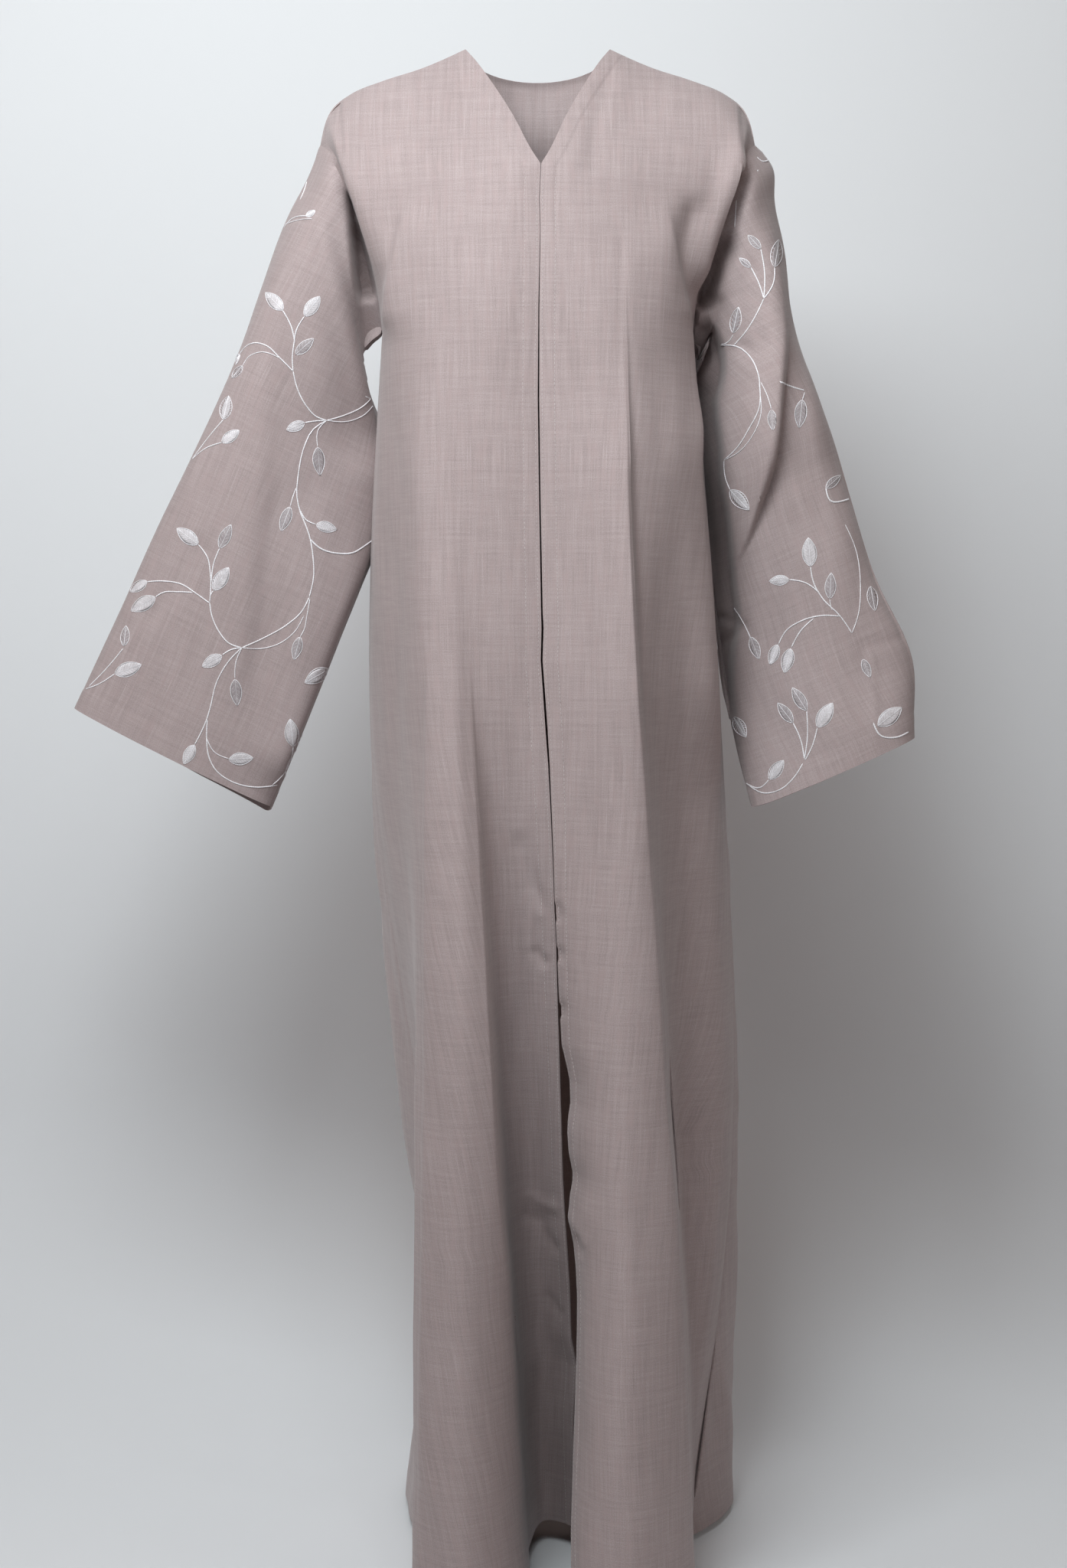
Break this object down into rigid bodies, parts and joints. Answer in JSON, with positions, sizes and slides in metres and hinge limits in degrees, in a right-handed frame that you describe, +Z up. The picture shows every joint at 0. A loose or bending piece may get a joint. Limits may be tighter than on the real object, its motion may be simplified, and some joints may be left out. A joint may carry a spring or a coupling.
{
  "type": "abaya cloak",
  "caption": "Long open-front robe with a V neck, dropped shoulders, wide flared sleeves with vine embroidery, and deep soft skirt folds, standing out as worn.",
  "frame": {"origin": "midway between the two points where the shoulder seams reach the neck", "axes": "+X to the wearer's left, the garment faces -Y, +Z up"},
  "size_m": [0.813, 0.513, 1.4526],
  "materials": {
    "body_cloth": "matte slub-woven linen-look cloth, dusty mauve",
    "sleeve_cloth": "the same cloth cut across, with raised silver-white vine embroidery",
    "thread": "satin silver-white embroidery thread"
  },
  "bodies": {
    "root": {"front_right": "body_cloth", "front_left": "body_cloth", "back": "body_cloth", "sleeve_right": "sleeve_cloth", "sleeve_left": "sleeve_cloth"}
  },
  "joints": []
}
